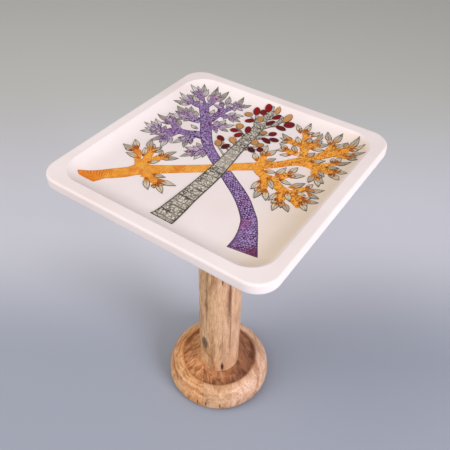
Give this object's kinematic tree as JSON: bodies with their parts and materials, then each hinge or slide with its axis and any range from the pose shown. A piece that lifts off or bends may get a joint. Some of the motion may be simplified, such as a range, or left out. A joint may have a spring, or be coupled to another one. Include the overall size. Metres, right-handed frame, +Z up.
{
  "type": "pedestal side table",
  "caption": "Small square side table: white dished wooden tray painted with three trees, on a round wooden column and a turned round base.",
  "frame": {"origin": "on the floor, on the axis of the column, below the centre of the tray", "axes": "+Z up along the column, +X and +Y along the sides of the square tray"},
  "size_m": [0.305, 0.305, 0.457],
  "materials": {
    "white_paint": "satin white paint on wood",
    "column_wood": "waxed mango wood",
    "base_wood": "waxed mango wood, glued blocks",
    "cleat_wood": "plain sanded wood",
    "dowel_wood": "plain beech",
    "zinc_steel": "zinc plated",
    "felt": "brown felt",
    "orange_paint": "matt artist's paint",
    "violet_paint": "matt artist's paint",
    "grey_paint": "matt artist's paint",
    "red_paint": "matt artist's paint",
    "ochre_paint": "matt artist's paint",
    "black_ink": "matt black line work"
  },
  "bodies": {
    "root": {"tray_board_1": "white_paint", "tray_board_2": "white_paint", "tray_board_3": "white_paint", "tray_board_4": "white_paint", "top_cleat": "cleat_wood", "cleat_screws": "zinc_steel", "tee_nut": "zinc_steel", "hanger_bolt": "zinc_steel", "top_dowels": "dowel_wood", "column": "column_wood", "base_dowels": "dowel_wood", "base_block_left": "base_wood", "base_block_middle": "base_wood", "base_block_right": "base_wood", "base_washer": "zinc_steel", "base_lag_bolt": "zinc_steel", "felt_pad_1": "felt", "felt_pad_2": "felt", "felt_pad_3": "felt", "felt_pad_4": "felt"}
  },
  "joints": []
}
